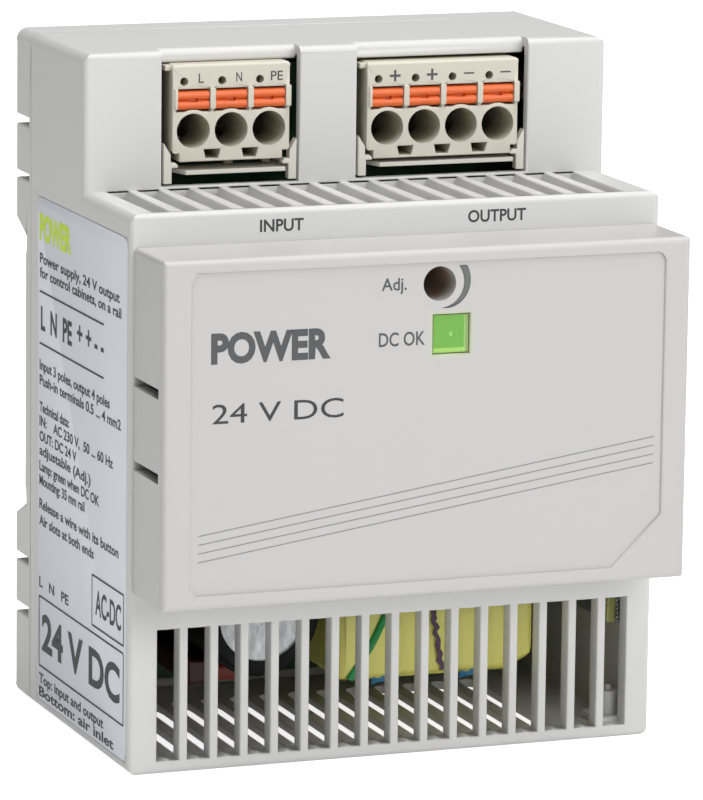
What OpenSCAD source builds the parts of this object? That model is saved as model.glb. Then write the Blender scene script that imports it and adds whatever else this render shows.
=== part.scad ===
// Compact DIN rail power supply, four modules wide: stepped moulded housing, snap-on bezel,
// two push-in terminal strips, spring-loaded rail latch and the power electronics inside.
// Millimetres. X is across the front, -Y is the front, +Z is up.
// Origin: centre of the overall box in X and Y, underside of the housing at z = 0.

/* [Housing] */
// Overall width, four 18 mm modules
body_w = 72; // [71:0.5:74]
// Overall height
body_h = 90; // [89.5:0.5:93]
// Overall depth, bezel face to rear plane
body_d = 59; // [58.5:0.5:62]
// Depth of the middle tier from the rear plane
mid_depth = 47.6; // [47:0.2:48.4]
// Depth of the upper terminal tier from the rear plane
upper_depth = 28.8; // [28.6:0.2:29.4]
// Height of the ledge between the tiers
ledge_z = 72.2; // [71.8:0.2:72.4]
// Depth of the rear base behind the seam
base_depth = 6.2; // [6:0.1:6.6]
// Side wall thickness
wall = 2; // [1.6:0.1:2.2]
// Thickness of the slotted front wall
front_wall = 2.4; // [2:0.1:2.6]
// Thickness of the slotted floor
floor_wall = 1.1; // [1:0.1:1.5]
// Radius of the outer edges that run front to back
edge_r = 1.6; // [0.8:0.1:1.8]
// Radius of the front edges
front_r = 0.9; // [0.5:0.1:1.2]

/* [Vents] */
// Number of vertical slots in the lower front
slot_count = 16; // [10:1:16]
// Spacing of the slots
slot_pitch = 4.11; // [3.8:0.01:4.15]
// Width of a front slot
slot_w = 2.95; // [2.4:0.05:3.1]
// Lower end of the front slots
slot_bottom = 1.7; // [1.5:0.1:2.5]
// Upper end of the front slots
slot_top = 18.8; // [16:0.1:21]
// Width of a floor slot
floor_slot_w = 2.3; // [1.8:0.1:2.6]

/* [Bezel] */
// Width of the bezel
bezel_w = 71; // [70:0.2:71]
// Lower edge of the bezel
bezel_bottom = 23.6; // [22.5:0.1:24]
// Upper edge of the bezel
bezel_top = 68; // [67.6:0.1:69]
// Bezel wall thickness
bezel_wall = 1.8; // [1.4:0.1:2]
// Depth of the recessed front panel
panel_recess = 0.35; // [0.2:0.05:0.5]

/* [Terminals] */
// Spacing of the terminal poles
pole_pitch = 5.15; // [5.1:0.05:5.2]
// Diameter of a wire entry
entry_d = 4.5; // [4:0.1:4.5]
// Travel of an orange release button
button_travel = 1.5; // [1:0.1:1.6]
// Number of poles on the input strip
input_poles = 3; // [2:1:3]
// Number of poles on the output strip
output_poles = 4; // [2:1:4]

/* [Rail seat] */
// Height of the rail recess
rail_gap = 36.2; // [35.6:0.1:36.6]
// Depth of the rail recess
rail_recess = 4; // [3.8:0.1:4.2]
// Travel of the rail latch
latch_travel = 3.5; // [2.5:0.5:3.5]

/* [Hidden] */
$fn = 48;
eps = 0.01;
gap = 0.15;
half_w = body_w / 2;
rear_y = body_d / 2;
face_y = -body_d / 2;
mid_y = rear_y - mid_depth;
upper_y = rear_y - upper_depth;
seam_y = rear_y - base_depth;
top_wall = 1.3;
rail_mid = 44.9;
rail_low = rail_mid - rail_gap / 2;
rail_high = rail_mid + rail_gap / 2;
seat_y = rear_y - rail_recess;
slope_z = 1.8;

ledge_shift = -0.85;
ledge_slot_rear = 2.8;
ledge_slot_front = 2.3;
ledge_slot_low = 1.7;

// Pocket for the label on the left side
label_front = -17;
label_rear = 20.2;
label_low = 1.6;
label_high = 69;
label_t = 0.15;

// Terminal windows and strips
window_low = 72.5;
set_back = 2.05;
input_x = -16.15;
input_win_w = 18.8;
input_win_high = 88.25;
output_x = 13.05;
output_win_w = 23.9;
output_win_high = 87.95;
input_base = 75.6;
output_base = 75;
strip_h = 12.6;
strip_d = 16;
strip_r = 0.4;
tray_top = window_low + 1.95;
pocket_depth = 6.5;
strip_y = upper_y - 0.05;
entry_z = 4;
entry_depth = 8.2;
button_low = 6.7;
button_high = 9.15;
button_w = 4.3;
button_len = 6.6;
collar_r = 2.72;
test_hole_d = 1.1;
test_x = -1.27;
test_z = 10.4;

// Bezel details
trimmer_x = 1.2;
trimmer_z = 63.5;
trimmer_hole_d = 4.4;
led_x = 2.9;
led_z = 57;
led_w = 5;
led_h = 5.1;
panel_left = -31.75;
panel_right = 31.95;
panel_low = 25.5;
panel_high = 66.25;
panel_cut = 6.8;
side_slot_z = [40.4, 51.1];
side_slot_h = 1.2;
side_slot_len = 9.6;

// Rail latch
latch_w = 18;
latch_wing = 1.5;
latch_back = rear_y - 0.5;
latch_front = seat_y + 1.3;
latch_low = 0.4;
latch_tip = rail_low + 1.7;
spring_low = 9.7;
spring_high = 18.2;
spring_r = 0.95;
spring_wire = 0.35;
spring_turns = 6;
latch_slot_low = 5.4;
wing_low = 3.9;
wing_high = 21.8;
// Half widths of the latch channel: wide part for the wings, narrow part open to the back
channel_wide = latch_w / 2 + latch_wing + 0.25;
channel_narrow = latch_w / 2 + 0.25;

// Main board
board_front = 19;
board_t = 1.6;
board_half_w = 33;
board_low = 3.2;
board_high = 85.5;
boss_x = 29.5;
boss_low = 9;
boss_high = 81.5;
cap_r = 8;
cap_x = -15.8;
cap_low_z = 18.1;
cap_front = -12;
trafo = [27, 26, 27];
trafo_x = 8.4;
trafo_z = 8.7;
trafo_front = -12;

// ---------- helpers ----------

// Rectangle from corner a to corner b with round corners of radius r
module round_rect(a, b, r) {
    translate([a[0] + r, a[1]]) square([b[0] - a[0] - 2 * r, b[1] - a[1]]);
    translate([a[0], a[1] + r]) square([b[0] - a[0], b[1] - a[1] - 2 * r]);
    for (x = [a[0] + r, b[0] - r], y = [a[1] + r, b[1] - r]) translate([x, y]) circle(r);
}

// Box given by its lowest and highest corners
module box(a, b) {
    translate(a) cube(b - a);
}

// Extrude an XZ outline from y0 to y1
module along_y(y0, y1) {
    translate([0, y1, 0]) rotate([90, 0, 0]) linear_extrude(y1 - y0) children();
}

// Extrude a YZ outline from x0 to x1
module along_x(x0, x1) {
    translate([x0, 0, 0]) rotate([90, 0, 90]) linear_extrude(x1 - x0) children();
}

// Cylinder along Y from y0 to y1
module rod_y(x, z, y0, y1, d) {
    translate([x, y1, z]) rotate([90, 0, 0]) cylinder(h = y1 - y0, d = d);
}

// Box with round edges along all three directions, square at the back plane y1
module soft_block(x0, x1, y0, y1, z0, z1, re, rf) {
    intersection() {
        along_y(y0, y1) round_rect([x0, z0], [x1, z1], re);
        along_x(x0, x1) round_rect([y0, z0], [y1 + 2 * rf, z1], rf);
        linear_extrude(z1) round_rect([x0, y0], [x1, y1 + 2 * rf], rf);
    }
}

// Leads at the given X and Z that run back into the face of the main board
module leads(points, y0) {
    for (p = points) rod_y(p[0], p[1], y0, board_front, 0.7);
}

// ---------- housing ----------

function slot_x(i) = (i - (slot_count - 1) / 2) * slot_pitch + 0.2;

module front_slots() {
    for (i = [0:slot_count - 1]) {
        translate([slot_x(i) - slot_w / 2, mid_y - 1, slot_bottom])
            cube([slot_w, front_wall + 2, slot_top - slot_bottom]);
    }
}

module floor_slots() {
    for (i = [0:slot_count - 3]) {
        translate([0, 0, -1]) linear_extrude(floor_wall + 2)
            round_rect([slot_x(i) - floor_slot_w / 2, mid_y + front_wall + 0.2],
                [slot_x(i) + floor_slot_w / 2, 14], floor_slot_w / 2 - eps);
    }
}

// Slots in the ledge, a little narrower at the front, where they run out on a slope. Their sides
// lean outward, so that each slot is wider at the top than at the bottom.
module ledge_slots() {
    low = ledge_z - wall - eps;
    for (i = [0:slot_count - 1]) translate([slot_x(i) + ledge_shift, 0, 0]) intersection() {
        along_x(-slot_w, slot_w) polygon([[upper_y - 0.1, ledge_z + 1], [upper_y - 0.1, low - 1],
            [mid_y + front_wall, low - 1], [mid_y + front_wall, ledge_z - 1.7],
            [mid_y + front_r + 0.1, ledge_z + eps], [mid_y + front_r + 0.1, ledge_z + 1]]);
        translate([0, 0, low - 2]) linear_extrude(6) polygon([[-ledge_slot_rear / 2, upper_y],
            [-ledge_slot_front / 2, mid_y], [ledge_slot_front / 2, mid_y], [ledge_slot_rear / 2, upper_y]]);
        along_y(mid_y - 1, upper_y + 1) polygon([[-ledge_slot_low / 2, low - 2],
            [-ledge_slot_low / 2, low], [-ledge_slot_rear / 2, ledge_z], [-ledge_slot_rear / 2, ledge_z + 2],
            [ledge_slot_rear / 2, ledge_z + 2], [ledge_slot_rear / 2, ledge_z], [ledge_slot_low / 2, low],
            [ledge_slot_low / 2, low - 2]]);
    }
}

// Opening in the upper tier for a terminal strip, up through the top edge of the front wall
module terminal_window(x, w, high) {
    box([x - w / 2, upper_y - 1, window_low], [x + w / 2, upper_y + set_back + 1.7, high]);
    box([x - w / 2, upper_y - 1, high - eps], [x + w / 2, upper_y + set_back + front_r, body_h + 1]);
}

// Set-back strip of wall above an opening, with a round top edge
module lintel(x, w, high) {
    intersection() {
        along_x(x - w / 2 - eps, x + w / 2 + eps)
            round_rect([upper_y + set_back, high - 3], [upper_y + set_back + 4, body_h], front_r);
        box([x - w, upper_y, high], [x + w, upper_y + set_back + 1.6, body_h + 1]);
    }
}

module cover_shell() {
    difference() {
        union() {
            soft_block(-half_w, half_w, mid_y, seam_y - 0.2, 0, ledge_z, edge_r, front_r);
            soft_block(-half_w, half_w, upper_y, seam_y - 0.2, 0, body_h, edge_r, front_r);
        }
        box([-half_w + wall, mid_y + front_wall, floor_wall],
            [half_w - wall, seam_y + 1, ledge_z - wall]);
        box([-half_w + wall, upper_y + 1.6, floor_wall],
            [half_w - wall, seam_y + 1, body_h - top_wall]);
    }
}

module main_cover() {
    color("gainsboro") {
        difference() {
            cover_shell();
            front_slots();
            floor_slots();
            ledge_slots();
            terminal_window(input_x, input_win_w, input_win_high);
            terminal_window(output_x, output_win_w, output_win_high);
            box([-6, mid_y - 1, 52], [9, mid_y + front_wall + 1, 66.5]);
            for (s = [-1, 1], z = [31, 60.5]) {
                box([s * 33 - 0.8, mid_y - 1, z - 3.5], [s * 33 + 0.8, mid_y + front_wall + 1, z + 3.5]);
            }
            box([-half_w - 1, label_front, label_low], [-half_w + label_t, label_rear, label_high]);
        }
        lintel(input_x, input_win_w, input_win_high);
        lintel(output_x, output_win_w, output_win_high);
        // Locating post on a pad in the front right corner of the floor
        box([29.6, mid_y + front_wall - eps, floor_wall - eps], [half_w - wall + eps, mid_y + 7.6, 2.2]);
        translate([32.2, mid_y + 5, 2]) cylinder(h = 3.3, d = 2.8);
        translate([32.2, mid_y + 5, 5]) cylinder(h = 1, d = 1);
    }
}

module rating_label() {
    color("lightsteelblue") along_x(-half_w, -half_w + label_t)
        round_rect([label_front + 0.05, label_low + 0.05], [label_rear - 0.05, label_high - 0.05], 1.5);
}

// Side outline of the base, with a shallow relief under the hooks and under the tip of the latch
module base_profile() {
    relief_y = seat_y - 0.4;
    polygon([[seam_y, 0], [rear_y, 0], [rear_y, rail_low - slope_z], [seat_y, rail_low],
        [relief_y, rail_low], [relief_y, rail_low + 2.4], [seat_y, rail_low + 2.4],
        [seat_y, rail_high - 2.6], [relief_y, rail_high - 2.6], [relief_y, rail_high],
        [seat_y, rail_high], [rear_y, rail_high + slope_z], [rear_y, body_h], [seam_y, body_h]]);
}

module base_grooves() {
    for (z = [[77.4, 78.6], [70.2, 71.1], [18.6, 19.6], [11.5, 12.8]], s = [-1, 1]) {
        translate([s * (half_w - 1), 0, 0]) box([-3, seam_y + 0.8, z[0]], [3, rear_y + 1, z[1]]);
    }
}

// Lip of the base that fits inside the cover and closes the seam
module seam_lip() {
    x = half_w - wall - gap;
    low = floor_wall + gap;
    high = body_h - top_wall - gap;
    difference() {
        box([-x, seam_y - 1.8, low], [x, seam_y + 0.1, high]);
        box([-x + 1.2, seam_y - 2, low + 1.2], [x - 1.2, seam_y + 1, high - 1.2]);
    }
}

module rear_base() {
    color("gainsboro") {
        seam_lip();
        difference() {
            intersection() {
                along_y(seam_y, rear_y) round_rect([-half_w, 0], [half_w, body_h], edge_r);
                along_x(-half_w, half_w) base_profile();
            }
            base_grooves();
            // Hollow inside of the upper and lower blocks
            box([-25, seam_y - 1, rail_high + 4.2], [25, rear_y - wall, body_h - wall]);
            for (s = [-1, 1]) {
                translate([s * 19, 0, 0]) box([-6, seam_y - 1, wall], [6, rear_y - wall, rail_low - 4]);
            }
            // Latch channel: closed below and above the wings, so that they stop the latch
            box([-channel_wide, latch_front - 0.2, wing_low - latch_travel - gap],
                [channel_wide, latch_back - 1, wing_high + gap]);
            box([-channel_narrow, latch_front - 0.2, -1], [channel_narrow, rear_y + 1, rail_low + 1]);
            // Vents in the seat floor
            for (i = [-4:4]) {
                box([i * 6 - 1, seam_y - 1, rail_mid - 9], [i * 6 + 1, seat_y + 1, rail_mid + 9]);
            }
            for (x = [-boss_x, boss_x], z = [boss_low, boss_high]) {
                rod_y(x, z, seam_y - 1, rear_y - 2.4, 2.2);
            }
        }
        // Fixed hooks that reach behind the upper edge of the rail
        for (x = [-24, 0, 24]) {
            box([x - 5, seat_y + 1.4, rail_high - 1.9], [x + 5, rear_y - 0.6, rail_high + 3]);
        }
        // Stop for the latch spring
        box([-1.1, latch_front - 0.3, spring_low - 1.6], [1.1, latch_back - 0.6, spring_low - 0.1]);
        // Bosses that carry the main board
        for (x = [-boss_x, boss_x], z = [boss_low, boss_high]) {
            difference() {
                rod_y(x, z, board_front + board_t, seam_y + 0.4, 6);
                rod_y(x, z, board_front + board_t - 1, seam_y + 1, 2.2);
            }
        }
    }
}

module rail_latch() {
    color("darkgray") difference() {
        union() {
            along_x(-latch_w / 2, latch_w / 2) polygon([[latch_front, latch_low],
                [latch_back, latch_low], [latch_back, latch_tip - 1.4],
                [latch_back - 1.1, latch_tip], [latch_front, latch_tip]]);
            box([-latch_w / 2 - latch_wing, latch_front, wing_low],
                [latch_w / 2 + latch_wing, latch_back - 1.25, wing_high]);
        }
        // Window for the spring and its stop
        box([-1.7, latch_front - 1, latch_slot_low], [1.7, latch_back + 1, spring_high + 0.1]);
        // Pull slot for a screwdriver
        box([-3.5, latch_front - 1, 1.6], [3.5, latch_back + 1, 3.2]);
        for (s = [-1, 1], i = [0:2]) {
            box([s * 6 - 2, latch_back - 0.3, 20 + i * 1.6], [s * 6 + 2, latch_back + 1, 20.8 + i * 1.6]);
        }
    }
}

// Point k of n on the spring's helix, and a ring of eight points round it
function helix(t) = [spring_r * cos(360 * spring_turns * t), spring_r * sin(360 * spring_turns * t),
    spring_low + spring_wire + t * (spring_high - spring_low - 2 * spring_wire)];
module latch_spring() {
    steps = spring_turns * 14;
    sides = 8;
    points = [for (k = [0:steps], s = [0:sides - 1])
        let (t = k / steps, a = 360 * spring_turns * t, b = 360 * s / sides, c = helix(t))
        c + spring_wire / 2 * [cos(b) * cos(a), cos(b) * sin(a), sin(b)]];
    walls = [for (k = [0:steps - 1], s = [0:sides - 1])
        let (n = (s + 1) % sides)
        [k * sides + s, k * sides + n, (k + 1) * sides + n, (k + 1) * sides + s]];
    ends = [[for (s = [sides - 1:-1:0]) s], [for (s = [0:sides - 1]) steps * sides + s]];
    color("silver") translate([0, (latch_front + latch_back) / 2, 0]) polyhedron(points, concat(walls, ends));
}

module cover_screws() {
    color("silver") for (x = [-boss_x, boss_x], z = [boss_low, boss_high]) {
        difference() {
            union() {
                rod_y(x, z, board_front - 1.9, board_front, 4.6);
                rod_y(x, z, board_front - 0.1, seam_y + 2, 2.1);
            }
            box([x - 1.6, board_front - 2.4, z - 0.3], [x + 1.6, board_front - 1.1, z + 0.3]);
            box([x - 0.3, board_front - 2.4, z - 1.6], [x + 0.3, board_front - 1.1, z + 1.6]);
        }
    }
}

// ---------- bezel ----------

// Outline of the recessed panel, with its lower right corner cut off
module panel_outline() {
    difference() {
        round_rect([panel_left, panel_low], [panel_right, panel_high], 1.2);
        translate([panel_right + eps, panel_low - eps]) polygon([[0, 0], [0, panel_cut], [-panel_cut, 0]]);
    }
}

module front_bezel() {
    bw = bezel_w / 2;
    back = mid_y - 0.05;
    color("gainsboro") {
        difference() {
            soft_block(-bw, bw, face_y, back, bezel_bottom, bezel_top, 0.7, front_r);
            box([-bw + bezel_wall, face_y + bezel_wall + 0.2, bezel_bottom + bezel_wall],
                [bw - bezel_wall, back + 1, bezel_top - bezel_wall]);
            along_y(face_y - 1, face_y + panel_recess) panel_outline();
            rod_y(trimmer_x, trimmer_z, face_y - 1, face_y + 4, trimmer_hole_d);
            box([led_x - led_w / 2, face_y - 1, led_z - led_h / 2],
                [led_x + led_w / 2, face_y + 4, led_z + led_h / 2]);
            for (z = side_slot_z) {
                box([-bw - 1, back - side_slot_len, z - side_slot_h / 2],
                    [bw + 1, back + 1, z + side_slot_h / 2]);
            }
        }
        // Sleeve that guides a screwdriver to the trimmer
        difference() {
            rod_y(trimmer_x, trimmer_z, face_y + 1.9, mid_y + 1.8, trimmer_hole_d + 1.6);
            rod_y(trimmer_x, trimmer_z, face_y + 1, mid_y + 3, trimmer_hole_d);
            box([trimmer_x - 4, face_y + 1, bezel_top - bezel_wall],
                [trimmer_x + 4, mid_y + 3, bezel_top + 2]);
        }
        // Snap hooks through the front wall of the cover
        for (s = [-1, 1], z = [31, 60.5]) {
            box([s * 33 - 0.6, face_y + bezel_wall, z - 3], [s * 33 + 0.6, mid_y + front_wall + 1.4, z + 3]);
            box([s * 32.6 - 0.9, mid_y + front_wall + gap, z - 3],
                [s * 32.6 + 0.9, mid_y + front_wall + 1.4, z + 3]);
        }
    }
}

module led_lens() {
    front = face_y + panel_recess + 0.35;
    color("limegreen") {
        box([led_x - led_w / 2 + 0.08, front, led_z - led_h / 2 + 0.08],
            [led_x + led_w / 2 - 0.08, face_y + 4.4, led_z + led_h / 2 - 0.08]);
        rod_y(led_x, led_z, face_y + 4.3, -12.4, 3);
    }
}

// ---------- terminal strips ----------

function pole_x(x, n, i) = x + (i - (n - 1) / 2) * pole_pitch;

// Body of a strip: rounded along its top front edge, with a small ear at the upper left
module strip_block(x, z0, n) {
    half = n * pole_pitch / 2 + 0.25;
    back = strip_y + strip_d;
    top = z0 + strip_h;
    intersection() {
        along_y(strip_y, back) {
            round_rect([x - half, z0 + 1.1], [x + half, top], 0.5);
            translate([x - half + 0.95, z0]) square([2 * half - 1.9, 3]);
        }
        along_x(x - half - 1, x + half + 1)
            round_rect([strip_y, z0 - 1], [back + 1, top], strip_r);
    }
    box([x - half - 0.8, strip_y + 0.7, top - 0.85], [x - half + 0.1, strip_y + 3, top - 0.15]);
    // Feet that stand on the tongue of the tray
    for (i = [1:2]) {
        px = pole_x(x, n, i) + 1.1;
        box([px - 0.6, strip_y + 4, tray_top + 0.05], [px + 0.6, strip_y + 5, z0 + 0.1]);
    }
}

module terminal(x, z0, n) {
    back = strip_y + strip_d;
    color("antiquewhite") difference() {
        union() {
            strip_block(x, z0, n);
            // Ribs between and beside the buttons
            for (i = [0:n]) {
                rx = x + (i - n / 2) * pole_pitch;
                box([rx - (i == 0 ? 0 : 0.36), strip_y - 0.35, z0 + button_low + 0.1],
                    [rx + 0.36, strip_y + 2, z0 + button_high + 0.35]);
            }
        }
        for (i = [0:n - 1]) {
            px = pole_x(x, n, i);
            rod_y(px, z0 + entry_z, strip_y - 1, strip_y + entry_depth, entry_d);
            difference() {
                box([px - button_w / 2 - 0.06, strip_y - 1, z0 + button_low - 0.25],
                    [px + button_w / 2 + 0.06, strip_y + entry_depth, z0 + button_high + 0.25]);
                rod_y(px, z0 + entry_z, strip_y - 2, strip_y + entry_depth + 1, 2 * collar_r);
            }
            box([px - button_w / 2, strip_y + entry_depth - 0.5, z0 + 1.2],
                [px + button_w / 2, back + 1, z0 + strip_h - 1.2]);
            rod_y(px + test_x, z0 + test_z, strip_y - 1, strip_y + entry_depth, test_hole_d);
        }
        for (i = [0:n - 2]) {
            mx = pole_x(x, n, i) + pole_pitch / 2;
            along_y(strip_y - 1, strip_y + pocket_depth) translate([mx, z0 + 0.35])
                polygon([[-0.85, 0], [0.85, 0], [1.1, 1.2], [-1.1, 1.2]]);
        }
    }
}

module button(x, z0, n, i) {
    px = pole_x(x, n, i);
    y0 = strip_y + 0.5;
    lobe = (button_high - button_low) / 4;
    color("darkorange") difference() {
        along_x(px - button_w / 2, px + button_w / 2) {
            translate([y0, z0 + button_low]) square([button_len - 0.5, 4 * lobe]);
            for (k = [1, 3]) translate([y0, z0 + button_low + k * lobe]) circle(lobe);
        }
        rod_y(px, z0 + entry_z, y0 - 2, y0 + button_len + 1, 2 * collar_r + 0.3);
        box([px - 0.6, y0 - 1, z0 + button_low + 2 * lobe - 0.22],
            [px + 0.6, y0 + 0.15, z0 + button_low + 2 * lobe + 0.22]);
    }
}

// Bent clamping spring of one pole: bow at the back, free leg across the wire path
module clamp_spring(px, z0) {
    y0 = strip_y + entry_depth + 0.4;
    t = 0.35;
    along_x(px - 1.6, px + 1.6) translate([y0, z0]) {
        translate([0, 10]) square([4.4, t]);
        translate([4.4, 8.6]) difference() {
            circle(1.4 + t);
            circle(1.4);
            translate([-4, -4]) square([4, 8]);
        }
        translate([1.2, 6.9]) square([3.25, t]);
        translate([1.2, 3]) square([t, 4]);
    }
}

module clamp_springs(x, z0, n) {
    color("silver") for (i = [0:n - 1]) clamp_spring(pole_x(x, n, i), z0);
}

// Tinned copper bar of one pole with its solder pins
module contact(px, z0) {
    y0 = strip_y + entry_depth + 0.6;
    box([px - 1.7, y0, z0 + 1.5], [px + 1.7, y0 + 6.4, z0 + 2.1]);
    box([px - 1.7, y0 + 5.8, z0 + 2], [px + 1.7, y0 + 6.4, z0 + 5.6]);
    for (s = [-1, 1]) {
        box([px + s * 1.1 - 0.4, y0 + 6.2, z0 + 3.4], [px + s * 1.1 + 0.4, board_front, z0 + 4.2]);
    }
}

module contacts(x, z0, n) {
    color("goldenrod") for (i = [0:n - 1]) contact(pole_x(x, n, i), z0);
}

// Tongue below the wire entries with its two side arms
module wire_tray(x, w) {
    half = w / 2 - 0.35;
    z0 = window_low;
    color("antiquewhite") {
        tray_tongue(x, half, tray_top - 0.55);
        for (s = [-1, 1]) {
            along_y(upper_y + 0.15, upper_y + 1.5) translate([x + s * half, 0]) mirror([s > 0 ? 1 : 0, 0])
                polygon([[0, z0 + 0.3], [1.1, z0 + 0.3], [1.1, z0 + 2.35], [1.9, z0 + 2.35],
                    [1.95, z0 + 2.65], [1.6, z0 + 3], [0.95, z0 + 3.05], [0.95, z0 + 4.1], [0, z0 + 5.6]]);
            translate([x + s * (half - 0.55), 0, 0])
                box([-0.55, upper_y + 1.4, z0 + 1.2], [0.55, upper_y + 8, z0 + 2.2]);
        }
    }
}

module tray_tongue(x, half, z0) {
    translate([x, 0, z0]) linear_extrude(0.55) polygon([[-half + 1.3, upper_y + 4.2],
        [-half + 3, upper_y + 0.1], [half - 1.5, upper_y + 0.1], [half - 1.3, upper_y + 4.2]]);
    box([x - half, upper_y + 4, z0], [x + half, upper_y + 5.2, z0 + 0.55]);
}

// ---------- boards and electronics ----------

module main_board() {
    color("forestgreen") difference() {
        box([-board_half_w, board_front, board_low], [board_half_w, board_front + board_t, board_high]);
        for (x = [-boss_x, boss_x], z = [boss_low, boss_high]) {
            rod_y(x, z, board_front - 1, board_front + board_t + 1, 3.2);
        }
    }
}

control_x = -2.4;

module control_board() {
    color("forestgreen") box([control_x, -12.6, 44], [control_x + 1.2, board_front, 68.5]);
}

module status_led() {
    color("honeydew") {
        rod_y(led_x, led_z, -11.9, -7.8, 3);
        rod_y(led_x, led_z, -8, -7, 3.6);
    }
    color("silver") for (z = [-1.27, 1.27]) {
        box([control_x + 1.2, -7, led_z + z - 0.25], [led_x + 0.3, -6.5, led_z + z + 0.25]);
    }
}

module trimmer_body() {
    color("royalblue") difference() {
        box([control_x + 1.25, -14.6, trimmer_z - 3.4], [control_x + 7.2, -9.8, trimmer_z + 3.4]);
        rod_y(trimmer_x, trimmer_z, -16, -13, 3.36);
    }
}

module trimmer_rotor() {
    color("white") difference() {
        rod_y(trimmer_x, trimmer_z, -15.4, -13.1, 3.2);
        box([trimmer_x - 1.3, -16, trimmer_z - 0.3], [trimmer_x + 1.3, -14.7, trimmer_z + 0.3]);
    }
}

module fuse() {
    color("sienna") rod_y(-28, 66, 9.5, 18.2, 8.4);
    color("silver") leads([[-28, 63.5], [-28, 68.5]], 18);
}

module varistor() {
    color("royalblue") translate([-31, 9.5, 52.2]) rotate([90, 0, 90])
        cylinder(h = 4, d = 11, center = true);
    color("silver") leads([[-31, 49.7], [-31, 54.7]], 13.2);
}

// Two film capacitors: one at the left wall, one lying low beside and under a bulk capacitor
module filter_capacitors() {
    color("firebrick") {
        soft_block(-32.6, -26, 4, 17, 8.2, 26, 0.8, 0.8);
        soft_block(-23.2, -20.2, -4, 18.2, 7.6, 11.2, 0.7, 0.7);
        soft_block(-21.4, -15.2, -2.5, 18.2, 7.6, 9.9, 0.7, 0.7);
    }
    color("silver") leads([[-29.3, 13.5], [-29.3, 22]], 16.9);
    color("silver") leads([[-21.5, 8.8], [-16.5, 8.8]], 18);
}

choke_c = [-14.5, 58.4];

module choke_core() {
    color("dimgray") translate([choke_c[0], 3, choke_c[1]]) rotate([90, 0, 0]) difference() {
        cylinder(h = 9, d = 15, center = true);
        cylinder(h = 10, d = 8, center = true);
    }
}

// Two windings on opposite halves of the ring
module choke_windings() {
    color("peru") for (s = [-1, 1]) {
        intersection() {
            translate([choke_c[0], 3, choke_c[1]]) rotate([90, 0, 0]) difference() {
                cylinder(h = 11.2, d = 17, center = true);
                difference() {
                    cylinder(h = 9.2, d = 15.2, center = true);
                    cylinder(h = 12, d = 7.8, center = true);
                }
                cylinder(h = 12, d = 5.6, center = true);
            }
            translate([choke_c[0] + s * 5.8, 3, choke_c[1]]) cube([7.2, 20, 12], center = true);
        }
    }
    color("silver") leads([[choke_c[0] - 6, choke_c[1]], [choke_c[0] + 6, choke_c[1]]], 8.6);
}

module bridge_rectifier() {
    color("dimgray") soft_block(-31.5, -28, -1, 12, 28, 46, 0.5, 0.5);
    color("silver") leads([for (i = [0:3]) [-29.75, 30.5 + i * 4.3]], 11.9);
}

module electrolytic(x, z, y0, y1, r) {
    translate([x, y1, z]) rotate([90, 0, 0]) difference() {
        union() {
            cylinder(h = y1 - y0 - 0.6, r = r);
            translate([0, 0, y1 - y0 - 0.61]) cylinder(h = 0.61, r = r - 0.6);
        }
        translate([0, 0, 3]) rotate_extrude() translate([r + 0.45, 0]) circle(0.8);
        translate([0, 0, y1 - y0 - 0.4]) cylinder(h = 1, r = r - 2.3);
    }
}

module bulk_capacitors() {
    color("darkslategray") for (k = [0, 1]) electrolytic(cap_x, cap_low_z + k * 17.2, cap_front, 18.6, cap_r);
}

module primary_heatsink() {
    color("silver") {
        box([-26, -9, 44.6], [-6, 18.2, 46.2]);
        for (i = [0:4]) box([-26, -9 + i * 2.2, 46.1], [-6, -8.2 + i * 2.2, 47.4]);
    }
}

module switching_transistor() {
    color("dimgray") box([-21, -6, 43.95], [-11, 9, 44.5]);
    color("silver") leads([[-18.5, 44.2], [-16, 44.2], [-13.5, 44.2]], 8.9);
}

// Transformer: a taped block of ferrite halves round one winding on a bobbin
module transformer_core() {
    c = [trafo_x, trafo_front + 1.2, trafo_z + 1];
    h = trafo[2] - 2;
    w = trafo[0] - 2.4;
    color("dimgray") translate([c[0] - w / 2, c[1], c[2]]) difference() {
        cube([w, 23.6, h]);
        translate([4, 3.4, -1]) cube([w - 8, 16.8, h + 2]);
    }
    color("dimgray") translate([c[0] - 4, c[1] + 3.3, c[2] + 5]) cube([8, 17, h - 10]);
}

module transformer_winding() {
    c = [trafo_x, trafo_front + 1.2, trafo_z + 1];
    color("peru") difference() {
        translate([c[0] - 7.6, c[1] + 4.6, c[2] + 1]) cube([15.2, 14.4, trafo[2] - 4]);
        translate([c[0] - 4.8, c[1] + 3, c[2] + 4.2]) cube([9.6, 18, trafo[2] - 10.4]);
    }
}

module transformer_bobbin() {
    color("darkslategray") box([trafo_x - 10, 13, trafo_z + 1.5],
        [trafo_x + 10, 16.2, trafo_z + trafo[2] - 2]);
    color("silver") leads([for (s = [-8, 8], i = [0:4]) [trafo_x + s, trafo_z + 5 + i * 4.6]], 16.1);
}

module transformer_tape() {
    w = trafo[0] / 2;
    color("khaki") difference() {
        soft_block(trafo_x - w, trafo_x + w, trafo_front, 12.8, trafo_z, trafo_z + trafo[2], 0.9, 0.9);
        box([trafo_x - w + 1, trafo_front + 1, trafo_z + 0.8],
            [trafo_x + w - 1, 14, trafo_z + trafo[2] - 0.8]);
    }
}

module safety_capacitor() {
    color("royalblue") translate([-3.2, 12, 39.5]) rotate([90, 0, 0])
        cylinder(h = 4, d = 7, center = true);
    color("silver") leads([[-5.6, 39.5], [-0.8, 39.5]], 13.9);
}

module optocoupler() {
    color("dimgray") box([4, 15.4, 39], [10.4, 18.6, 43.6]);
    color("silver") leads([for (x = [4.8, 9.6], z = [40, 42.6]) [x, z]], 18.5);
}

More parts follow.
